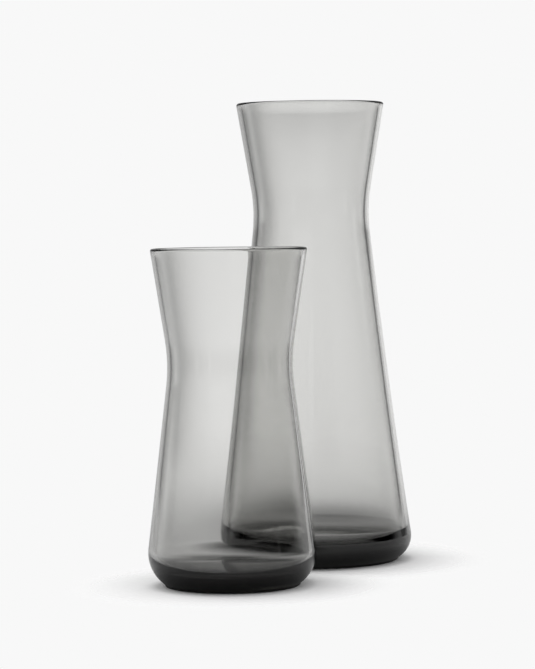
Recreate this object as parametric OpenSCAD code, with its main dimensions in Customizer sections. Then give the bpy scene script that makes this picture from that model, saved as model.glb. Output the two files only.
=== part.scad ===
// A matching pair of water carafes in smoked glass: a tall one, and a short one that stands before it.
// Each is one piece of blown glass: a solid round base, a flank that narrows to a waist,
// and a flare that ends in a round lip. The origin is the middle of the tall carafe's foot.

/* [Tall carafe] */
// Height from the table to the top of the lip
tall_h = 290; // [240:1:340]
// Outer diameter of the lip
tall_rim_d = 93.2; // [84:0.2:110]
// Drop from the top of the lip to the narrowest point
tall_waist_drop = 70.6; // [62:0.2:90]
// Outer diameter at the narrowest point
tall_waist_d = 73.2; // [64:0.2:84]
// Outer diameter at the widest point of the base
tall_base_d = 122.8; // [104:0.2:150]
// Radius that rounds the base, from the widest point down to the foot
tall_base_round_r = 15.6; // [10:0.2:22]
// How far the foot's edge lies inside the widest point
tall_foot_inset = 8.5; // [4:0.1:14]
// Radius of the slight inward bow of the flank
tall_flank_r = 6200; // [3000:100:20000]
// Wall thickness from the lip to the waist
tall_wall = 3.3; // [2:0.1:5]
// Wall thickness where the flank meets the inner corner
tall_wall_low = 4.4; // [2:0.1:8]
// Glass under the middle of the inner floor
tall_floor_h = 11; // [6:0.5:25]
// Radius of the corner between the inner wall and the inner floor
tall_corner_r = 8; // [5:0.5:20]

/* [Short carafe] */
// Height from the table to the top of the lip
short_h = 200.6; // [180:0.2:260]
// Outer diameter of the lip
short_rim_d = 93.2; // [84:0.2:110]
// Drop from the top of the lip to the narrowest point
short_waist_drop = 69.6; // [62:0.2:80]
// Outer diameter at the narrowest point
short_waist_d = 74.8; // [64:0.2:84]
// Outer diameter at the widest point of the base
short_base_d = 100.4; // [90:0.2:120]
// Radius that rounds the base, from the widest point down to the foot
short_base_round_r = 22.4; // [14:0.2:28]
// How far the foot's edge lies inside the widest point
short_foot_inset = 9.8; // [4:0.1:14]
// Radius of the slight inward bow of the flank
short_flank_r = 20000; // [3000:100:40000]
// Wall thickness from the lip to the waist
short_wall = 2.6; // [2:0.1:5]
// Wall thickness where the flank meets the inner corner
short_wall_low = 4.2; // [2:0.1:8]
// Glass under the middle of the inner floor
short_floor_h = 8.5; // [6:0.5:25]
// Radius of the corner between the inner wall and the inner floor
short_corner_r = 10; // [5:0.5:20]

/* [Both carafes] */
// Radius of the waist, between the flank and the flare
waist_blend_r = 104; // [80:1:140]
// Height of the low straight foot under the rounded base
foot_h = 1; // [0.4:0.1:3]
// How much lower the inner floor is in the middle than at its corner
floor_dish = 1.5; // [0.2:0.1:4]

/* [Placing of the pair] */
// Gap between the two carafes at their widest points
pair_gap = 16; // [4:1:60]
// Direction from the tall carafe to the short one, in degrees from +X
pair_turn = 246.4; // [180:0.2:360]

/* [Hidden] */
smoke = [0.36, 0.36, 0.35, 0.55];
turn_fn = 128;
base_steps = 8;
flank_steps = 10;
waist_steps = 7;
lip_steps = 4;
corner_steps = 10;
floor_steps = 6;
pair_reach = tall_base_d / 2 + short_base_d / 2 + pair_gap;

// Points on a circle about c, from the first of the angles through each of the others, with so many
// steps between two of them. A negative radius gives the far side, for arcs that curve inwards.
function arc(c, r, angles, steps) = [
    for (k = [1 : len(angles) - 1], i = [k == 1 ? 0 : 1 : steps])
        let (a = angles[k - 1] + (angles[k] - angles[k - 1]) * i / steps)
        c + r * [cos(a), sin(a)]
];

// Centre of the circle that touches the base circle from outside and holds the waist circle inside.
function flank_centre(base_c, base_r, waist_c, flank_r) =
    let (
        span = norm(waist_c - base_c),
        to_base = flank_r + base_r,
        to_waist = flank_r - waist_blend_r,
        bearing = atan2(waist_c.y - base_c.y, waist_c.x - base_c.x),
        swing = acos((pow(span, 2) + pow(to_base, 2) - pow(to_waist, 2)) / (2 * span * to_base))
    )
    base_c + to_base * [cos(bearing - swing), sin(bearing - swing)];

// Lean of the flare from upright, where a straight line touches both the waist circle and the lip circle.
function flare_lean(waist_c, lip_c, lip_r) =
    let (
        run = waist_c.x - lip_c.x,
        rise = lip_c.y - waist_c.y
    )
    atan2(rise, run) - acos((waist_blend_r + lip_r) / norm([run, rise]));

// Angle above level of the line from one point to another on its right.
function lean_to(from, to) = atan2(to.y - from.y, to.x - from.x);

// One carafe about the Z axis, with its foot on the table.
module carafe(h, rim_d, waist_drop, waist_d, base_d, base_round_r, foot_inset, flank_r,
              wall, wall_low, floor_h, corner_r) {
    foot_r = base_d / 2 - foot_inset;
    foot_reach = sqrt(pow(base_round_r, 2) - pow(base_round_r - foot_inset, 2));
    base_c = [base_d / 2 - base_round_r, foot_h + foot_reach];
    waist_c = [waist_d / 2 + waist_blend_r, h - waist_drop];
    lip_r = wall / 2;
    lip_c = [rim_d / 2 - lip_r, h - lip_r];
    flank_c = flank_centre(base_c, base_round_r, waist_c, flank_r);
    foot_lean = -atan2(foot_reach, base_round_r - foot_inset);
    low_lean = lean_to(base_c, flank_c);
    high_lean = lean_to(waist_c, flank_c);
    rim_lean = -flare_lean(waist_c, lip_c, lip_r);
    corner_reach = flank_r + wall_low + corner_r;
    corner_lean = asin((flank_c.y - floor_h - floor_dish - corner_r) / corner_reach);
    corner_c = flank_c - corner_reach * [cos(corner_lean), sin(corner_lean)];
    outside = concat(
        [[0, 0], [foot_r, 0]],
        arc(base_c, base_round_r, [foot_lean, 0, low_lean], base_steps),
        arc(flank_c, -flank_r, [low_lean, high_lean], flank_steps),
        arc(waist_c, -waist_blend_r, [high_lean, 0, rim_lean], waist_steps),
        arc(lip_c, lip_r, [rim_lean, 0, 90, rim_lean + 180], lip_steps)
    );
    inner_flank = [
        for (i = [1 : flank_steps])
            let (
                share = i / flank_steps,
                a = high_lean + (corner_lean - high_lean) * share,
                reach = flank_r + wall + (wall_low - wall) * pow(share, 2)
            )
            flank_c - reach * [cos(a), sin(a)]
    ];
    floor_points = [
        for (i = [floor_steps - 1 : -1 : 0])
            let (share = i / floor_steps)
            [corner_c.x * share, floor_h + floor_dish * pow(share, 2)]
    ];
    inside = concat(
        arc(waist_c, -(waist_blend_r + wall), [rim_lean, 0, high_lean], waist_steps),
        inner_flank,
        arc(corner_c, corner_r, [corner_lean, -90], corner_steps),
        floor_points
    );
    rotate_extrude($fn = turn_fn) polygon(concat(outside, inside));
}

module tall_carafe() {
    color(smoke)
        carafe(h = tall_h, rim_d = tall_rim_d, waist_drop = tall_waist_drop, waist_d = tall_waist_d,
               base_d = tall_base_d, base_round_r = tall_base_round_r, foot_inset = tall_foot_inset,
               flank_r = tall_flank_r, wall = tall_wall, wall_low = tall_wall_low,
               floor_h = tall_floor_h, corner_r = tall_corner_r);
}

module short_carafe() {
    color(smoke)
        translate([pair_reach * cos(pair_turn), pair_reach * sin(pair_turn), 0])
            carafe(h = short_h, rim_d = short_rim_d, waist_drop = short_waist_drop, waist_d = short_waist_d,
                   base_d = short_base_d, base_round_r = short_base_round_r, foot_inset = short_foot_inset,
                   flank_r = short_flank_r, wall = short_wall, wall_low = short_wall_low,
                   floor_h = short_floor_h, corner_r = short_corner_r);
}

tall_carafe();
short_carafe();
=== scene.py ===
"""A matching pair of smoked-glass water carafes, a tall one and a short one, in a plain white studio."""

import math

import bpy
import numpy as np
from mathutils import Matrix, Vector


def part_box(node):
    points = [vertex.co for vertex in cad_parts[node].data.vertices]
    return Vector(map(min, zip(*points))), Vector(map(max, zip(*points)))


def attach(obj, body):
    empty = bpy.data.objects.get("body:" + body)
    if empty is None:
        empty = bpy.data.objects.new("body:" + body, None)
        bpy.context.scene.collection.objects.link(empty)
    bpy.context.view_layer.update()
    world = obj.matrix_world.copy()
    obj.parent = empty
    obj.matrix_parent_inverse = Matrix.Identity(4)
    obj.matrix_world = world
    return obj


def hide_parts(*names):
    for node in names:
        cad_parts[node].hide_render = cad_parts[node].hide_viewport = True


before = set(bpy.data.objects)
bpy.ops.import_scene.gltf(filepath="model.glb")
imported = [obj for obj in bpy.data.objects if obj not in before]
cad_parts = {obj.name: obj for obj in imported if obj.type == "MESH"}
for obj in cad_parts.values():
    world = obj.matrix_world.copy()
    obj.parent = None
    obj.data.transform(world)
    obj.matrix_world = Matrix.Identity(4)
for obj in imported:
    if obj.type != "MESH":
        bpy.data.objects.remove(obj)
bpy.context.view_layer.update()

# Glass sizes in metres, the same as in the part's source
WAIST_BLEND_R = 0.104
FOOT_H = 0.001
FLOOR_DISH = 0.0015
TALL = {
    "h": 0.290,
    "rim_d": 0.0932,
    "waist_drop": 0.0706,
    "waist_d": 0.0732,
    "base_d": 0.1228,
    "base_round_r": 0.0156,
    "foot_inset": 0.0085,
    "flank_r": 6.2,
    "wall": 0.0033,
    "wall_low": 0.0044,
    "floor_h": 0.011,
    "corner_r": 0.008,
}
SHORT = {
    "h": 0.2006,
    "rim_d": 0.0932,
    "waist_drop": 0.0696,
    "waist_d": 0.0748,
    "base_d": 0.1004,
    "base_round_r": 0.0224,
    "foot_inset": 0.0098,
    "flank_r": 20.0,
    "wall": 0.0026,
    "wall_low": 0.0042,
    "floor_h": 0.0085,
    "corner_r": 0.010,
}
CARAFES = (("tall_carafe", TALL), ("short_carafe", SHORT))

# Steps along each stretch of the section, and sides round the axis
FOOT_STEPS = 8
FOOT_EDGE_STEPS = 4
BASE_STEPS = 16
FLANK_STEPS = 24
WAIST_STEPS = 12
FLARE_STEPS = 12
LIP_STEPS = 6
CORNER_STEPS = 16
FLOOR_STEPS = 12
SIDES = 384
FOOT_EDGE_R = FOOT_H / 3
SAME_POINT = 1e-6

# Glass material: lengths in metres, absorption for each metre of depth
GLASS_TINT = (1, 1, 0.995, 1)
GLASS_IOR = 1.5
SMOKE_COLOUR = (0.06, 0.055, 0.02, 1)
SMOKE_DENSITY = 48
RIPPLE_SCALE, RIPPLE_DETAIL = 22, 1
RIPPLE_STRENGTH, RIPPLE_DEPTH = 0.02, 0.002

# Background, and the floor as the camera sees it. Brightness 1 is white. A fade runs over distances
# from the carafes' widest points.
WHITE = 0.939
PAPER = 0.92
PAPER_ROUGHNESS = 0.9
FILL = 0.78
FLOOR_REACH, FLOOR_GAP = 1.6, 0.0004
FLOOR_FADE = (0.0, 0.052)

# The floor as glass shows it, a glow in place of the lit paper: its brightness, its fade into the
# surroundings,
# and painted shadows on it: painted shade close to the carafes, a painted contact shadow at and under
# them, and a painted shadow as a dark oval patch behind them
FLOOR_IN_GLASS = 0.87
FLOOR_FADE_IN_GLASS = (0.11, 0.89)
# painted shade: the glowing floor is darker close to the carafes and rises to full brightness further
# out
PAINTED_SHADE_NEAR_IN_GLASS = 0.68
PAINTED_SHADE_RISE_IN_GLASS = (0.0, 0.47)
# painted contact shadow: the glowing floor goes dark at and under the carafes' feet
PAINTED_CONTACT_SHADOW_IN_GLASS = (-0.018, 0.031)
# painted shadow: a dark oval patch on the glowing floor behind the carafes
SHADOW_PATCH_PLACE, SHADOW_PATCH_REACH = (0.016, 0.159, 0), (0.096, 0.185, 1)
SHADOW_PATCH_EDGE, SHADOW_PATCH_SHARE = 1.2, 0.62
FAR_OFF = 10

# The studio as glass shows it: bearings from +Y towards +X, and heights above level, in degrees.
# A width is (from, to, softness), and a pair of angles runs from the start to the end of a change.
QUARTER = 90
SCREEN_LEFT, SCREEN_RIGHT = (0.62, 0.57), (1.0, 0.95)  # each below level, above level
SCREEN_STEP = (-8, -1)
SCREEN_WIDTH = (-32.6, 34, 3)
SCREEN_RISE = (-0.5, 1)
SCREEN_TOP = (3.7, 0.7)
SCREEN_GAP = 0.21
SIDE, SIDE_GAP = (50, 62), 0.8
FAR_FLOOR, FAR_FLOOR_LEVEL = (-6, -12), 0.8
ROOM = 0.17
CEILING = (45, 30)
STRIP = 0.45
STRIP_WIDTH = (-12, 12, 3)
STRIP_TOP = (33, 23)

# What glass mirrors: a dark front with lit panels, and a wide light overhead
FRONT, FRONT_LEVEL = (60, 80), 0.0
PANELS = (  # bearing, half width, bottom, top, softness, brightness
    (108, 1.5, -12, 0, 2, 1.0),
    (217, 2.0, -12, 0, 2, 0.6),
    (200, 20, 8, 30, 5, 0.3),
)
OVERHEAD, OVERHEAD_LEVEL = (45, 65), 0.8

# Lamps that light the floor: name, place, side in metres, radiance
LAMPS = (
    ("overhead", (-0.15, 0.0, 1.4), 0.8, 3.1),
    ("back_left", (-0.9, 0.5, 1.0), 0.6, 1.6),
)

# Camera: place in metres, tilt and roll in radians, found from the photograph's outlines
LONG_SIDE_PX, FOCAL_PX, SENSOR_MM = 669, 2777.3, 36
CAM_PLACE = (-0.02858, -1.76407, 0.2262)
CAM_TILT, CAM_ROLL = -0.04692, -0.01255


def unit(a):
    """The direction at an angle above level, as radius and height."""
    return np.array([math.cos(a), math.sin(a)])


def arc(centre, r, angles, steps):
    """Points on a circle, through the given angles. A negative radius gives the far side."""
    points = []
    for start, end in zip(angles, angles[1:]):
        for i in range(steps + 1):
            points.append(centre + r * unit(start + (end - start) * i / steps))
    return points


def between(start, end, steps):
    """Points on a straight line, without its ends."""
    return [start + (end - start) * i / steps for i in range(1, steps)]


def lean_to(start, end):
    """Angle above level of the line from one point to another."""
    d = end - start
    return math.atan2(d[1], d[0])


def outline(size):
    """The section as points of radius and height: up the outside, over the lip, down the inside."""
    base_r, round_r, flank_r = size["base_d"] / 2, size["base_round_r"], size["flank_r"]
    wall, wall_low, corner_r, floor_h = size["wall"], size["wall_low"], size["corner_r"], size["floor_h"]
    foot_r = base_r - size["foot_inset"]
    foot_reach = math.sqrt(round_r**2 - (round_r - size["foot_inset"]) ** 2)
    base_c = np.array([base_r - round_r, FOOT_H + foot_reach])
    waist_c = np.array([size["waist_d"] / 2 + WAIST_BLEND_R, size["h"] - size["waist_drop"]])
    lip_r = wall / 2
    lip_c = np.array([size["rim_d"] / 2 - lip_r, size["h"] - lip_r])
    span = np.linalg.norm(waist_c - base_c)
    to_base = flank_r + round_r
    to_waist = flank_r - WAIST_BLEND_R
    swing = math.acos((span**2 + to_base**2 - to_waist**2) / (2 * span * to_base))
    flank_c = base_c + to_base * unit(lean_to(base_c, waist_c) - swing)
    run, rise = waist_c[0] - lip_c[0], lip_c[1] - waist_c[1]
    rim_lean = math.acos((WAIST_BLEND_R + lip_r) / math.hypot(run, rise)) - math.atan2(rise, run)
    foot_lean = -math.atan2(foot_reach, round_r - size["foot_inset"])
    low_lean = lean_to(base_c, flank_c)
    high_lean = lean_to(waist_c, flank_c)
    corner_reach = flank_r + wall_low + corner_r
    corner_lean = math.asin((flank_c[1] - floor_h - FLOOR_DISH - corner_r) / corner_reach)
    corner_c = flank_c - corner_reach * unit(corner_lean)

    foot = [np.array([foot_r * i / FOOT_STEPS, 0.0]) for i in range(FOOT_STEPS)]
    foot_edge_c = np.array([foot_r - FOOT_EDGE_R, FOOT_EDGE_R])
    foot += arc(foot_edge_c, FOOT_EDGE_R, [-math.pi / 2, 0], FOOT_EDGE_STEPS)
    outside = arc(base_c, round_r, [foot_lean, 0, low_lean], BASE_STEPS)
    outside += arc(flank_c, -flank_r, [low_lean, high_lean], FLANK_STEPS)
    outside += arc(waist_c, -WAIST_BLEND_R, [high_lean, 0, rim_lean], WAIST_STEPS)
    lip = arc(lip_c, lip_r, [rim_lean, 0, math.pi / 2, rim_lean + math.pi], LIP_STEPS)
    inside = arc(waist_c, -(WAIST_BLEND_R + wall), [rim_lean, 0, high_lean], WAIST_STEPS)
    flare_out = between(outside[-1], lip[0], FLARE_STEPS)
    flare_in = between(lip[-1], inside[0], FLARE_STEPS)
    for i in range(1, FLANK_STEPS + 1):
        share = i / FLANK_STEPS
        lean = high_lean + (corner_lean - high_lean) * share
        reach = flank_r + wall + (wall_low - wall) * share**2
        inside.append(flank_c - reach * unit(lean))
    inside += arc(corner_c, corner_r, [corner_lean, -math.pi / 2], CORNER_STEPS)
    floor = [
        np.array([corner_c[0] * i / FLOOR_STEPS, floor_h + FLOOR_DISH * (i / FLOOR_STEPS) ** 2])
        for i in range(FLOOR_STEPS - 1, -1, -1)
    ]
    points = foot + outside + flare_out + lip + flare_in + inside + floor
    kept = [points[0]]
    for p in points[1:]:
        if np.linalg.norm(p - kept[-1]) > SAME_POINT:
            kept.append(p)
    return kept


def lathe(name, section, centre):
    """A closed mesh of revolution, with one point on the axis at each end of its section."""
    verts, faces = [], []
    rings = section[1:-1]
    for r, z in rings:
        for k in range(SIDES):
            a = 2 * math.pi * k / SIDES
            verts.append((centre[0] + r * math.cos(a), centre[1] + r * math.sin(a), z))
    for i in range(len(rings) - 1):
        low, high = i * SIDES, (i + 1) * SIDES
        for k in range(SIDES):
            n = (k + 1) % SIDES
            faces.append((low + k, low + n, high + n, high + k))
    bottom, top = len(verts), len(verts) + 1
    verts.append((centre[0], centre[1], section[0][1]))
    verts.append((centre[0], centre[1], section[-1][1]))
    last = (len(rings) - 1) * SIDES
    for k in range(SIDES):
        n = (k + 1) % SIDES
        faces.append((bottom, n, k))
        faces.append((top, last + k, last + n))
    mesh = bpy.data.meshes.new(name)
    mesh.from_pydata(verts, [], faces)
    mesh.polygons.foreach_set("use_smooth", [True] * len(mesh.polygons))
    mesh.update()
    obj = bpy.data.objects.new(name, mesh)
    bpy.context.collection.objects.link(obj)
    return obj


def smoked_glass():
    """Clear gloss glass whose grey comes from its depth, with the faint ripple of blown glass."""
    mat = bpy.data.materials.new("smoke_glass")
    mat.use_nodes = True
    nodes, links = mat.node_tree.nodes, mat.node_tree.links
    shader = nodes["Principled BSDF"]
    shader.inputs["Base Color"].default_value = GLASS_TINT
    shader.inputs["Transmission Weight"].default_value = 1
    shader.inputs["Roughness"].default_value = 0
    shader.inputs["IOR"].default_value = GLASS_IOR
    absorb = nodes.new("ShaderNodeVolumeAbsorption")
    absorb.inputs["Color"].default_value = SMOKE_COLOUR
    absorb.inputs["Density"].default_value = SMOKE_DENSITY
    links.new(absorb.outputs["Volume"], nodes["Material Output"].inputs["Volume"])
    place = nodes.new("ShaderNodeTexCoord")
    ripple = nodes.new("ShaderNodeTexNoise")
    ripple.inputs["Scale"].default_value = RIPPLE_SCALE
    ripple.inputs["Detail"].default_value = RIPPLE_DETAIL
    bump = nodes.new("ShaderNodeBump")
    bump.inputs["Strength"].default_value = RIPPLE_STRENGTH
    bump.inputs["Distance"].default_value = RIPPLE_DEPTH
    links.new(place.outputs["Object"], ripple.inputs["Vector"])
    links.new(ripple.outputs["Fac"], bump.inputs["Height"])
    links.new(bump.outputs["Normal"], shader.inputs["Normal"])
    return mat


def node_centre(node):
    low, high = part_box(node)
    return ((low[0] + high[0]) / 2, (low[1] + high[1]) / 2)


class Sums:
    """Writes sums as Math and Vector Math nodes, on numbers and sockets."""

    def __init__(self, tree):
        self.nodes, self.links = tree.nodes, tree.links

    def __call__(self, kind, *values):
        node = self.nodes.new("ShaderNodeMath")
        node.operation = kind
        for slot, value in zip(node.inputs, values):
            if isinstance(value, (int, float)):
                slot.default_value = value
            else:
                self.links.new(value, slot)
        return node.outputs[0]

    def vector(self, kind, value, fixed=None):
        """A sum on a vector socket and, where it takes a second vector, fixed numbers."""
        node = self.nodes.new("ShaderNodeVectorMath")
        node.operation = kind
        self.links.new(value, node.inputs[0])
        if fixed is not None:
            node.inputs[1].default_value = fixed
        return node.outputs["Value" if kind in ("DISTANCE", "LENGTH") else "Vector"]

    def ramp(self, value, start, end):
        """0 before start and 1 after end, with a smooth rise. Start may be above end."""
        node = self.nodes.new("ShaderNodeMapRange")
        node.interpolation_type = "SMOOTHSTEP"
        node.inputs["From Min"].default_value = start
        node.inputs["From Max"].default_value = end
        self.links.new(value, node.inputs["Value"])
        return node.outputs["Result"]

    def window(self, value, low, high, soft):
        """1 between low and high, and 0 outside them."""
        over_low = self.ramp(value, low - soft, low + soft)
        under_high = self.ramp(value, high + soft, high - soft)
        return self("MULTIPLY", over_low, under_high)

    def mixed(self, share, low, high):
        """Low where the share is 0, high where it is 1."""
        return self("ADD", self("MULTIPLY", self("SUBTRACT", high, low), share), low)


def through_glass(sums, path):
    """1 for rays that leave glass or are mirrored by it."""
    return sums("MAXIMUM", path["Is Glossy Ray"], path["Is Transmission Ray"])


def surroundings(tree, sums, mirrored):
    """Brightness of the studio by direction, as glass shows it."""
    place = tree.nodes.new("ShaderNodeTexCoord")
    split = tree.nodes.new("ShaderNodeSeparateXYZ")
    tree.links.new(place.outputs["Generated"], split.inputs[0])
    x, y, z = split.outputs
    bearing = sums("DEGREES", sums("ARCTAN2", x, y))
    height = sums("DEGREES", sums("ARCSINE", z))
    from_back = sums("ABSOLUTE", bearing)
    # four lit screens stand round the table, a quarter turn apart, each dimmer on its left
    quarter = sums("WRAP", bearing, QUARTER / 2, -QUARTER / 2)
    upper = sums.ramp(height, *SCREEN_RISE)
    left, right = sums.mixed(upper, *SCREEN_LEFT), sums.mixed(upper, *SCREEN_RIGHT)
    screen = sums.mixed(sums.ramp(quarter, *SCREEN_STEP), left, right)
    gap = sums.mixed(sums.ramp(from_back, *SIDE), SCREEN_GAP, SIDE_GAP)
    around = sums.mixed(sums.window(quarter, *SCREEN_WIDTH), gap, screen)
    around = sums.mixed(sums.ramp(height, *FAR_FLOOR), around, FAR_FLOOR_LEVEL)
    # a dim room shows above the screens, with a brighter strip over the middle of each
    room = sums("MULTIPLY", sums.ramp(height, *CEILING), ROOM)
    strip = sums("MULTIPLY", sums.window(quarter, *STRIP_WIDTH), sums.ramp(height, *STRIP_TOP))
    room = sums.mixed(strip, room, STRIP)
    through = sums.mixed(sums.ramp(height, *SCREEN_TOP), room, around)
    panels = FRONT_LEVEL
    for middle, half_width, bottom, top, soft, level in PANELS:
        away = sums("WRAP", sums("SUBTRACT", bearing, middle), 180, -180)
        wide = sums.window(away, -half_width, half_width, min(soft, half_width))
        tall = sums.window(height, bottom, top, soft)
        panels = sums("MAXIMUM", panels, sums("MULTIPLY", sums("MULTIPLY", wide, tall), level))
    seen = sums.mixed(sums("MULTIPLY", mirrored, sums.ramp(from_back, *FRONT)), through, panels)
    above = sums("MULTIPLY", mirrored, sums.ramp(height, *OVERHEAD))
    return sums("MAXIMUM", seen, sums("MULTIPLY", above, OVERHEAD_LEVEL))


def studio_world():
    """White to the camera, and an even fill light on matt surfaces. Glass shows the studio."""
    world = bpy.data.worlds.new("studio")
    bpy.context.scene.world = world
    world.use_nodes = True
    tree = world.node_tree
    sums = Sums(tree)
    path = tree.nodes.new("ShaderNodeLightPath").outputs
    plain = sums.mixed(path["Is Diffuse Ray"], WHITE, FILL)
    # a ray counts as mirrored once it has been reflected, outside the glass or in it
    mirrored = sums("MINIMUM", path["Glossy Depth"], 1)
    level = sums.mixed(through_glass(sums, path), plain, surroundings(tree, sums, mirrored))
    light = tree.nodes["Background"]
    light.inputs["Color"].default_value = (1, 1, 1, 1)
    tree.links.new(level, light.inputs["Strength"])


def floor_material():
    """Pale paper that fades into the white surroundings, and in its place for glass a glow with painted
    shadows near, under and behind the carafes.
    """
    mat = bpy.data.materials.new("floor_paper")
    mat.use_nodes = True
    tree = mat.node_tree
    nodes, links = tree.nodes, tree.links
    sums = Sums(tree)
    paper = nodes["Principled BSDF"]
    paper.inputs["Base Color"].default_value = (PAPER, PAPER, PAPER, 1)
    paper.inputs["Roughness"].default_value = PAPER_ROUGHNESS
    paper.inputs["Specular IOR Level"].default_value = 0
    clear = nodes.new("ShaderNodeBsdfTransparent")
    in_glass = through_glass(sums, nodes.new("ShaderNodeLightPath").outputs)
    place = nodes.new("ShaderNodeTexCoord").outputs["Object"]
    outside = FAR_OFF
    for node, size in CARAFES:
        from_axis = sums.vector("DISTANCE", place, (*node_centre(node), 0))
        outside = sums("MINIMUM", outside, sums("SUBTRACT", from_axis, size["base_d"] / 2))
    near, far = sums.ramp(outside, *FLOOR_FADE), sums.ramp(outside, *FLOOR_FADE_IN_GLASS)
    fade = sums.mixed(in_glass, near, far)
    # painted shade: the glow is darker close to the carafes
    shade = sums.mixed(sums.ramp(outside, *PAINTED_SHADE_RISE_IN_GLASS), PAINTED_SHADE_NEAR_IN_GLASS, 1)
    # painted shadow: a dark oval patch behind the carafes
    from_painted_shadow = sums.vector("DIVIDE", sums.vector("SUBTRACT", place, SHADOW_PATCH_PLACE), SHADOW_PATCH_REACH)
    painted_shadow = sums.ramp(sums.vector("LENGTH", from_painted_shadow), SHADOW_PATCH_EDGE, 0)
    painted_shadow = sums("MULTIPLY", painted_shadow, SHADOW_PATCH_SHARE)
    shade = sums("MULTIPLY", shade, sums("SUBTRACT", 1, painted_shadow))
    # painted contact shadow at and under the feet
    shade = sums("MULTIPLY", shade, sums.ramp(outside, *PAINTED_CONTACT_SHADOW_IN_GLASS))
    # the glow carries the painted shade and painted shadows
    glow = nodes.new("ShaderNodeEmission")
    links.new(sums("MULTIPLY", shade, FLOOR_IN_GLASS), glow.inputs["Strength"])
    as_seen = nodes.new("ShaderNodeMixShader")
    links.new(in_glass, as_seen.inputs[0])
    links.new(paper.outputs[0], as_seen.inputs[1])
    links.new(glow.outputs[0], as_seen.inputs[2])
    faded = nodes.new("ShaderNodeMixShader")
    links.new(fade, faded.inputs[0])
    links.new(as_seen.outputs[0], faded.inputs[1])
    links.new(clear.outputs[0], faded.inputs[2])
    links.new(faded.outputs[0], nodes["Material Output"].inputs["Surface"])
    return mat


def studio_floor():
    """A pale floor that keeps the carafes' shadows."""
    signs = ((-1, -1), (1, -1), (1, 1), (-1, 1))
    corners = [(x * FLOOR_REACH, y * FLOOR_REACH, -FLOOR_GAP) for x, y in signs]
    mesh = bpy.data.meshes.new("floor")
    mesh.from_pydata(corners, [], [(0, 1, 2, 3)])
    mesh.materials.append(floor_material())
    floor = bpy.data.objects.new("floor", mesh)
    bpy.context.collection.objects.link(floor)


def lamp(name, place, size, radiance):
    """A square soft lamp that faces the origin and lights the floor, but doesn't show in glass."""
    light = bpy.data.lights.new(name, "AREA")
    light.shape = "SQUARE"
    light.size = size
    light.energy = radiance * size**2 * math.pi
    obj = bpy.data.objects.new(name, light)
    obj.location = place
    obj.rotation_euler = (-Vector(place)).to_track_quat("-Z", "Y").to_euler()
    obj.visible_camera = obj.visible_glossy = obj.visible_transmission = False
    bpy.context.collection.objects.link(obj)


def photo_camera():
    """The camera at the photograph's place and viewing angle."""
    data = bpy.data.cameras.new("camera")
    data.sensor_width = SENSOR_MM
    data.lens = SENSOR_MM * FOCAL_PX / LONG_SIDE_PX
    camera = bpy.data.objects.new("camera", data)
    tilt = Matrix.Rotation(math.pi / 2 + CAM_TILT, 4, "X")
    roll = Matrix.Rotation(CAM_ROLL, 4, "Z")
    camera.matrix_world = Matrix.Translation(CAM_PLACE) @ tilt @ roll
    bpy.context.collection.objects.link(camera)
    return camera


glass = smoked_glass()
for node, size in CARAFES:
    piece = lathe(node + "_glass", outline(size), node_centre(node))
    piece.data.materials.append(glass)
    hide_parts(node)
    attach(piece, node)

studio_world()
studio_floor()
for name, place, size, radiance in LAMPS:
    lamp(name, place, size, radiance)
bpy.context.scene.camera = photo_camera()
bpy.context.scene.view_settings.view_transform = "Standard"
